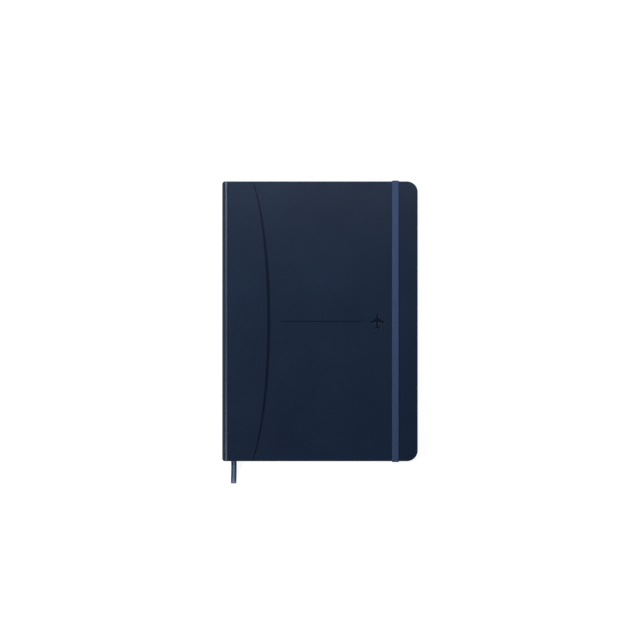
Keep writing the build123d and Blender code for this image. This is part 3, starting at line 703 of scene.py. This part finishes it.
def joint_skin(name, front):
    """Leatherette from the middle of the spine round to the board, with rolled head and tail ends."""
    z_mid = T / 2 / MM
    R, RX = 4.2, 4.95  # height and width of the bend
    top = T / MM
    prof = [(0.0, z) for z in np.linspace(z_mid, top - R, 6)[:-1]]
    for k in range(0, 17):
        phi = math.pi / 2 * k / 16
        prof.append((RX - RX * math.cos(phi), top - R + R * math.sin(phi)))
    prof += [(5.03, top), (5.12, top), (5.2, top)]
    prof = np.array(prof)
    x, z = prof[:, 0], prof[:, 1].copy()
    z = z - CREASE * np.exp(-(((x - 5.0) / CREASE_W) ** 2)) * smooth(3.4, 4.6, x)
    tg = np.gradient(np.stack([x, z], 1), axis=0)
    tg /= np.linalg.norm(tg, axis=1)[:, None]
    nx, nz = -tg[:, 1], tg[:, 0]  # outward
    n = len(x)
    reach = np.where(x < 1.6, 108.0 - (1.6 - np.sqrt(np.clip(1.6**2 - (1.6 - x) ** 2, 0, None))), 108.0)
    roll = 0.5 + 0.35 * smooth(3.0, 5.2, x)
    thick = 0.8
    sections = []  # (y, depth below the outer surface) for each ring, as arrays over the profile
    ks = np.linspace(0, 1, 7)
    half = []
    for k in ks:
        phi = math.pi / 2 * k
        half.append((reach - roll + roll * math.sin(phi), roll - roll * math.cos(phi)))
    half.append((reach, np.maximum(roll + 0.05, thick - 0.25)))
    lowr = 0.2
    for k in (0.5, 1.0):
        phi = math.pi / 2 * k
        half.append((reach - lowr * (1 - math.cos(phi)), np.maximum(roll + 0.06, thick - 0.25) + lowr * math.sin(phi)))
    outer_y = np.concatenate([np.arange(-104.0, 104.1, 8.0)])
    rings = []
    for y_, d_ in reversed(half):
        rings.append((-y_, d_))
    for yy in outer_y:
        rings.append((np.full(n, yy), np.zeros(n)))
    for y_, d_ in half:
        rings.append((y_, d_))
    # back along the inside, thinner away from the turned-in ends
    for yy in (100.0, 95.0, 94.0, 60.0, 0.0, -60.0, -94.0, -95.0, -100.0):
        rings.append((np.full(n, yy), np.full(n, thick + 0.2 if abs(yy) >= 95 else 0.42)))
    verts, wear_and_highlight = [], []
    for y_, d_ in rings:
        for k in range(n):
            verts.append((x[k] - nx[k] * d_[k], y_[k], z[k] - nz[k] * d_[k]))
            # the rolled ends are lightened as wear; the band along the bend is lightened partly as wear and partly as a
            # painted highlight
            wear_and_highlight.append(float(0.9 * (abs(y_[k]) > reach[k] - 0.7) * (d_[k] < 0.5)) + 0.12 * float(3.0 > x[k] > 0.3 and d_[k] == 0))
    m = len(rings)
    faces = []
    for i in range(m):
        j = (i + 1) % m
        for k in range(n - 1):
            faces.append((i * n + k, j * n + k, j * n + k + 1, i * n + k + 1))
    faces.append(tuple(i * n for i in range(m)))
    faces.append(tuple(i * n + n - 1 for i in range(m)))
    V = np.array(verts)
    out = np.empty_like(V)
    out[:, 0] = S + V[:, 0] * MM
    out[:, 1] = V[:, 1] * MM
    out[:, 2] = V[:, 2] * MM if front else T - V[:, 2] * MM
    gloss = np.exp(-(((V[:, 0] - 3.0) / 1.1) ** 2))
    # the darkening along the crease is painted shade
    ob = add_mesh(name, out, faces, [LEATHER], {"press_and_shade": joint_crease_shade(V[:, 0]), "wear_and_highlight": wear_and_highlight, "gloss": gloss}, 50)
    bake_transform(ob)
    return ob


front_joint = joint_skin("front_joint_skin", True)
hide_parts("front_hinge_leather", "spine_leather")
back_joint = joint_skin("back_joint_skin", False)
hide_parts("back_hinge_leather")


# --------------------------------------------------------------------- leaves
def leaf(xs, top, bottom, hy, r, ragged=0.0):
    """Closed thin leaf. xs are columns in mm from the spine; top and bottom give z in mm at (x, y)."""
    xs = np.asarray(xs, float)
    xr = xs[-1] + ragged
    phis = np.linspace(0, math.pi / 2, 8)
    arcs = hy - r + r * np.sin(phis)
    half = np.unique(np.concatenate([[0.0, hy - 14.5, hy - 13.2], arcs]))
    ys = np.concatenate([-half[:0:-1], half])
    X = []
    for y in ys:
        ay = abs(y)
        xe = xr if ay <= hy - r else xr - r + math.sqrt(max(r * r - (ay - hy + r) ** 2, 0))
        lim = xr - 16
        X.append(np.where(xs > lim, lim + (xs - lim) * (xe - lim) / (xs[-1] - lim), xs))
    X = np.array(X)
    Y = np.repeat(ys[:, None], X.shape[1], 1)
    n, m = X.shape
    Zt, Zb = top(X, Y), bottom(X, Y)
    V = np.concatenate([
        np.stack([X, Y, Zt], -1).reshape(-1, 3),
        np.stack([X, Y, Zb], -1).reshape(-1, 3),
    ])
    top_f = quads(n, m)
    bot_f = [tuple(reversed(f)) for f in quads(n, m, base=n * m)]
    rim = [i * m + m - 1 for i in range(n)] + [(n - 1) * m + j for j in range(m - 2, -1, -1)]
    rim += [i * m for i in range(n - 2, -1, -1)] + [j for j in range(1, m - 1)]
    side_f = []
    for a, c in zip(rim, rim[1:] + rim[:1]):
        side_f.append((a, c, c + n * m, a + n * m))
    return V, top_f, bot_f, side_f


def leaves_mesh(name, specs, mats_top_bottom_edge, attrs=None):
    """Several leaves in one mesh. specs: (columns, top, bottom, half height, corner radius, ragged)."""
    allv, faces, fmat, base = [], [], [], 0
    for sp in specs:
        V, tf, bf, sf = leaf(*sp[:6])
        mt, mb, me_ = sp[6]
        for group, mi in ((tf, mt), (bf, mb), (sf, me_)):
            for f in group:
                faces.append(tuple(i + base for i in f))
                fmat.append(mi)
        allv.append(V)
        base += len(V)
    V = np.concatenate(allv)
    out = np.empty_like(V)
    out[:, 0] = S + V[:, 0] * MM
    out[:, 1] = V[:, 1] * MM
    out[:, 2] = V[:, 2] * MM
    # faces must be in material order of the mesh after normals are fixed, so keep the list's order
    return add_mesh(name, out, faces, mats_top_bottom_edge, attrs, 30, fmat)


def flat(z):
    return lambda X, Y: np.full(X.shape, z)


mats = [PAGE, RULED, PAGE_EDGE]
coarse = [2.0, 2.3, 3.2, 16.0, 60.0, 110.0, 132.2, 140.0, 148.2]
dense = list(np.arange(2.0, 15.0, 0.45)) + [18.0, 60.0, 110.0, 132.2, 140.0, 148.2]
LEAVES = 8
for n in range(2, 11):
    lo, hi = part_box(f"signature_{n:02d}")
    z0, z1 = lo[2] / MM, hi[2] / MM
    step = (z1 - z0) / LEAVES
    specs = []
    bed = n == 6
    for k in range(LEAVES):
        zb, zt = z0 + k * step + 0.004, z0 + (k + 1) * step - 0.008
        fold_in = 0.06 * min(k, LEAVES - 1 - k)
        ragged = float(rng.normal(0, 0.045)) - 0.05
        ragged = max(-0.2, min(0.0, ragged))
        hy = 105.0 + max(-0.12, min(0.0, float(rng.normal(-0.04, 0.03))))
        if bed:
            def squeezed(z, z0=z0, z1=z1):
                def f(X, Y):
                    # the ribbon presses these leaves together
                    cx = np.interp(Y, [-110, -97, -76, -32, 18, 60, 83, 96, 105], [8.65, 8.65, 9.2, 9.8, 9.9, 9.5, 8.7, 7.4, 5.3])
                    near = 1 - smooth(2.25, 3.7, np.abs(X - cx))
                    keep = 1 - near * (0.30 / (z1 - z0))
                    return z0 + (z - z0) * keep
                return f
            top, bot = squeezed(zt), squeezed(zb)
        else:
            top, bot = flat(zt), flat(zb)
        cols = [c + (fold_in if i == 0 else 0) for i, c in enumerate(dense if bed else coarse)]
        face_top = 1 if (k == LEAVES - 1) else 0
        specs.append((cols, top, bot, hy, 6.0, ragged, (face_top, 0, 2)))
    ob = leaves_mesh(f"signature_{n:02d}_leaves", specs, mats)
    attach(ob, "text_block")
    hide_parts(f"signature_{n:02d}")

lo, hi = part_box("signature_01_leaves")
z0, z1 = lo[2] / MM, hi[2] / MM
step = (z1 - z0) / LEAVES
specs = []
turning = list(np.arange(2.05, 14.0, 0.4)) + [16.0, 20.0, 60.0, 110.0, 132.2, 140.0, 148.2]
for k in range(LEAVES):
    zb, zt = z0 + k * step + 0.004, z0 + (k + 1) * step - 0.008
    cols = [c + (0.06 * min(k, LEAVES - 1 - k) if i == 0 else 0) for i, c in enumerate(turning)]
    specs.append((cols, flat(zt), flat(zb), 104.96, 6.0, max(-0.2, min(0.0, float(rng.normal(-0.07, 0.04)))), (1 if k < 7 else 0, 1 if k == 0 else 0, 2)))
first = leaves_mesh("signature_01_pages", specs, mats)
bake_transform(first)
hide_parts("signature_01_leaves", "signature_01_gutter")

# endpapers: each is one folded sheet, half of it pasted to the board
mats_end = [ENDPAPER, ENDPAPER, PAGE_EDGE]
lo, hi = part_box("front_flyleaf")
fly = leaves_mesh("front_flyleaf_sheet", [(turning, flat(hi[2] / MM - 0.02), flat(lo[2] / MM + 0.01), 104.95, 6.0, -0.05, (0, 0, 2))], mats_end)
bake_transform(fly)
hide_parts("front_flyleaf", "front_endpaper_joint")

lo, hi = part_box("rear_flyleaf")
rear = leaves_mesh("rear_flyleaf_sheet", [(coarse, flat(hi[2] / MM - 0.01), flat(lo[2] / MM + 0.02), 104.95, 6.0, -0.05, (0, 0, 2))], mats_end)
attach(rear, "text_block")
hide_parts("rear_flyleaf")


def pastedown(name, front, cad):
    lo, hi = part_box(cad)
    inner = (lo[2] if front else hi[2]) / MM
    sgn = 1.0 if front else -1.0

    def relief(X, Y):
        # raised over the turn-ins, sunk over the bare board between them
        d = np.minimum(137.0 - X, 94.0 - np.abs(Y))
        sunk = smooth(-0.3, 0.9, d) * smooth(5.0, 6.4, X)
        return 0.10 * sunk

    face = lambda X, Y: inner + sgn * relief(X, Y)
    back = lambda X, Y: inner + sgn * (relief(X, Y) + 0.14)
    cols = list(np.arange(2.3, 9.0, 0.35)) + [12.0, 60.0, 110.0, 133.0, 136.0, 136.6, 137.2, 137.8, 139.0, 144.0, 148.4]
    top, bot = (back, face) if front else (face, back)
    ob = leaves_mesh(name, [(cols, top, bot, 105.2, 6.0, 0.0, (0, 0, 2))], mats_end)
    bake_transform(ob)
    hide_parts(cad)
    return ob


pastedown("front_pastedown_sheet", True, "front_pastedown")
back_paste = pastedown("back_pastedown_sheet", False, "back_pastedown")
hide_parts("back_endpaper_joint")

# ------------------------------------------------------------------ end bands
for sign, cad in ((1, "head_band"), (-1, "tail_band")):
    lo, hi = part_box(cad)
    z0, z1 = lo[2], hi[2]
    cx, cy, rr = S + 2.2 * MM, sign * 105.64 * MM, 0.62 * MM
    nz, na = 121, 20
    verts, al = [], []
    for i in range(nz):
        z = z0 + (z1 - z0) * i / (nz - 1)
        ridge = 1 + 0.09 * abs(math.sin(math.pi * (z - z0) / (0.4 * MM)))
        end = min(1.0, math.sqrt(max(0.02, 1 - (abs(2 * i / (nz - 1) - 1)) ** 24)))
        for k in range(na):
            t = 2 * math.pi * k / na
            verts.append((cx + rr * ridge * end * 0.92 * math.cos(t), cy + rr * ridge * end * 0.92 * math.sin(t), z))
            al.append(z - z0)
    faces = quads(nz, na, wrap_m=True) + [tuple(range(na)), tuple(range(nz * na - 1, nz * na - na - 1, -1))]
    # the tape that it is sewn to, glued down the folds
    b0 = len(verts)
    x0, x1 = S + 1.43 * MM, S + 1.57 * MM
    ya, yb = sign * 91.9 * MM, sign * 105.6 * MM
    ny = 12
    for xx in (x0, x1):
        for j in range(ny):
            yy = ya + (yb - ya) * j / (ny - 1)
            w = 0.02 * MM * math.sin(j * 1.9)
            verts += [(xx, yy, z0 + w), (xx, yy, z1 - w)]
            al += [0.0002, 0.0002]
    for j in range(ny - 1):
        a, c = b0 + 2 * j, b0 + 2 * (ny + j)
        faces += [(a, a + 2, a + 3, a + 1), (c, c + 1, c + 3, c + 2), (a, c, c + 2, a + 2), (a + 1, a + 3, c + 3, c + 1)]
    a, c = b0, b0 + 2 * ny
    faces += [(a, a + 1, c + 1, c)]
    a, c = b0 + 2 * (ny - 1), b0 + 2 * (2 * ny - 1)
    faces += [(a, c, c + 1, a + 1)]
    ob = add_mesh(f"{cad}_wraps", verts, faces, [BANDING], {"al": al}, 60)
    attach(ob, "text_block")
    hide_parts(cad)

# -------------------------------------------------------------- elastic band
BX = (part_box("elastic_strip")[0][0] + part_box("elastic_strip")[1][0]) / 2
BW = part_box("elastic_strip")[1][0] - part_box("elastic_strip")[0][0]
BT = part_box("elastic_strip")[1][2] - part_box("elastic_strip")[0][2]
STRIP_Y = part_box("elastic_strip")[1][1]
Z_TOP = (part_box("elastic_strip")[0][2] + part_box("elastic_strip")[1][2]) / 2
RIBS = 9


def round_path(points, radius, step=0.00025):
    """(y, z) points joined by arcs, then a point about every step along them."""
    out = [np.array(points[0], float)]
    for a, b, c in zip(points, points[1:], points[2:]):
        a, b, c = map(lambda q: np.array(q, float), (a, b, c))
        u, v = (a - b) / np.linalg.norm(a - b), (c - b) / np.linalg.norm(c - b)
        ang = math.acos(max(-1, min(1, float(u @ v))))
        d = radius / math.tan(ang / 2)
        p, q = b + u * d, b + v * d
        centre = b + (u + v) / np.linalg.norm(u + v) * (radius / math.sin(ang / 2))
        a0, a1 = math.atan2(*(p - centre)[::-1]), math.atan2(*(q - centre)[::-1])
        while a1 - a0 > math.pi:
            a1 -= 2 * math.pi
        while a1 - a0 < -math.pi:
            a1 += 2 * math.pi
        for k in range(0, 9):
            t = a0 + (a1 - a0) * k / 8
            out.append(centre + radius * np.array([math.cos(t), math.sin(t)]))
    out.append(np.array(points[-1], float))
    pts = [out[0]]
    for p, q in zip(out, out[1:]):
        m = max(1, int(np.linalg.norm(q - p) / step))
        for k in range(1, m + 1):
            pts.append(p + (q - p) * k / m)
    return np.array(pts)


def band(name, path, al0, flip=1.0, thick=BT):
    """Woven band swept along (y, z) points at x = BX; al0 is where its length starts."""
    tg = np.gradient(path, axis=0)
    tg /= np.maximum(np.linalg.norm(tg, axis=1), 1e-12)[:, None]
    nrm = np.stack([-tg[:, 1], tg[:, 0]], 1) * flip
    us = np.concatenate([[-1, -0.985, -0.95], np.linspace(-0.9, 0.9, 49), [0.95, 0.985, 1]])
    prof = (1 - np.abs(us) ** 14) ** 0.5 * (0.90 + 0.10 * np.abs(np.sin(np.pi * (us + 1) / 2 * RIBS)))
    prof = np.maximum(prof, 0.03)
    L = np.concatenate([[0], np.cumsum(np.linalg.norm(np.diff(path, axis=0), axis=1))])
    verts, al, ac = [], [], []
    for p, n_, s_ in zip(path, nrm, L):
        for u, h in zip(us, prof):
            verts.append((BX + u * BW / 2, p[0] + n_[0] * h * thick / 2, p[1] + n_[1] * h * thick / 2))
            al.append(al0 + s_)
            ac.append((u + 1) / 2)
        for u, h in zip(us[::-1], prof[::-1]):
            verts.append((BX + u * BW / 2, p[0] - n_[0] * h * thick / 2, p[1] - n_[1] * h * thick / 2))
            al.append(al0 + s_)
            ac.append((u + 1) / 2)
    m = 2 * len(us)
    faces = quads(len(path), m, wrap_m=True)
    faces += [tuple(range(m)), tuple(range(len(verts) - 1, len(verts) - m - 1, -1))]
    return add_mesh(name, verts, faces, [ELASTIC], {"al": al, "ac": ac}, 60)


for sign, where in ((1, "head"), (-1, "tail")):
    ys = np.concatenate([np.linspace(0, 0.103, 42), np.linspace(0.103, STRIP_Y, 60)[1:]])
    path = np.stack([sign * ys, np.full(len(ys), Z_TOP)], 1)
    half = band(f"elastic_strip_{where}", path, 0.0 if sign > 0 else 0.3, flip=float(sign))
    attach(half, "elastic_band")
    if sign > 0:
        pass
    else:
        strip_tail = half

    llo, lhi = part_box(f"elastic_leg_{where}")
    edge_y = max(abs(llo[1]), abs(lhi[1])) - BT / 2
    zc = llo[2] + BT / 2
    leg_y0 = min(abs(llo[1]), abs(lhi[1]))
    path = round_path([(sign * leg_y0, zc), (sign * edge_y, zc), (sign * edge_y, Z_TOP), (sign * STRIP_Y, Z_TOP)], 0.00099)
    # the leg's last 3 mm, with the corner, turns over into the strip outside the cover's edge
    z_turn = Z_TOP - 0.0030
    cut = int(np.argmax(path[:, 1] >= z_turn))
    leg = band(f"elastic_leg_{where}_woven", path[: cut + 1], 0.1, flip=float(-sign))
    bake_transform(leg)
    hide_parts(f"elastic_leg_{where}")
    turn = band(f"elastic_turn_{where}", path[cut:], 0.15, flip=float(-sign))
    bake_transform(turn)

    elo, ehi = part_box(f"elastic_end_{where}")
    ztail = ehi[2] - BT / 2
    y_in = min(abs(elo[1]), abs(ehi[1]))
    y_slot = 96.95 * MM
    path = round_path([(sign * y_in, ztail), (sign * y_slot, ztail), (sign * y_slot, zc), (sign * leg_y0, zc)], 0.0004)
    endp = band(f"elastic_end_{where}_woven", path, 0.2, flip=float(sign))
    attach(endp, "back_cover")
    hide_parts(f"elastic_end_{where}")
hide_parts("elastic_strip")


# -------------------------------------------------- CAD nodes that still show
def paint(name, mat):
    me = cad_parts[name].data
    me.materials.clear()
    me.materials.append(mat)


for n in ("front_board", "back_board", "spine_board"):
    paint(n, BOARD)
paint("spine_lining", LINING)
paint("spine_mull", MULL)
paint("sewing_thread", THREAD)

# ------------------------------------------------------------ floor and light
floor_m, fnt, fb = material("floor", (0.3, 0.3, 0.3), 0.9, 0.05)
fcol = ramp(fnt, noise(fnt, coords(fnt), 3.0, 2.0), [(0.3, (0.295, 0.295, 0.295)), (0.7, (0.305, 0.305, 0.305))])
fnt.links.new(fcol, fb.inputs["Base Color"])
fb.inputs["Emission Color"].default_value = (1, 1, 1, 1)
fb.inputs["Emission Strength"].default_value = 0.90
fme = bpy.data.meshes.new("floor")
fme.from_pydata([(-4, -4, -0.00002), (4, -4, -0.00002), (4, 4, -0.00002), (-4, 4, -0.00002)], [], [(0, 1, 2, 3)])
fme.materials.append(floor_m)
floor = new_object("floor", fme)

# A studio tent: bright walls all round and a dim roof, so that the dark
# covers mirror little of it
world = bpy.data.worlds.new("world")
scene.world = world
world.use_nodes = True
wnt = world.node_tree
wz = node(wnt, "ShaderNodeSeparateXYZ", {0: wnt.nodes.new("ShaderNodeTexCoord").outputs["Generated"]}).outputs[2]
wfac = node(wnt, "ShaderNodeMapRange", {"Value": wz, "From Min": 0.55, "From Max": 0.84, "To Min": 0.16, "To Max": 0.05}, interpolation_type="SMOOTHSTEP").outputs[0]
wnt.nodes["Background"].inputs[0].default_value = (0.95, 0.98, 1.0, 1)
wnt.links.new(wfac, wnt.nodes["Background"].inputs[1])


def area(name, loc, target, sx, sy, radiance, color=(1, 1, 1)):
    li = bpy.data.lights.new(name, "AREA")
    li.shape = "RECTANGLE"
    li.size, li.size_y = sx, sy
    li.energy = radiance * math.pi * sx * sy
    li.color = color
    ob = new_object(name, li)
    ob.location = loc
    ob.rotation_euler = (Vector(target) - Vector(loc)).to_track_quat("-Z", "Y").to_euler()
    return ob


area("strip_head", (-0.62, 0.20, 0.72), (0, 0.16, 0), 0.24, 0.38, 15.6, (0.92, 1.00, 1.12))
area("strip_mid", (-0.62, 0.0, 0.72), (0, 0.0, 0), 0.16, 0.38, 1.4, (0.92, 1.00, 1.12))
area("strip_tail", (-0.62, -0.20, 0.72), (0, -0.16, 0), 0.24, 0.38, 10.4, (0.92, 1.00, 1.12))
area("box_head", (0.0, 0.215, 0.38), (0, 0.08, 0), 0.45, 0.10, 7.1, (0.80, 0.90, 1.0))
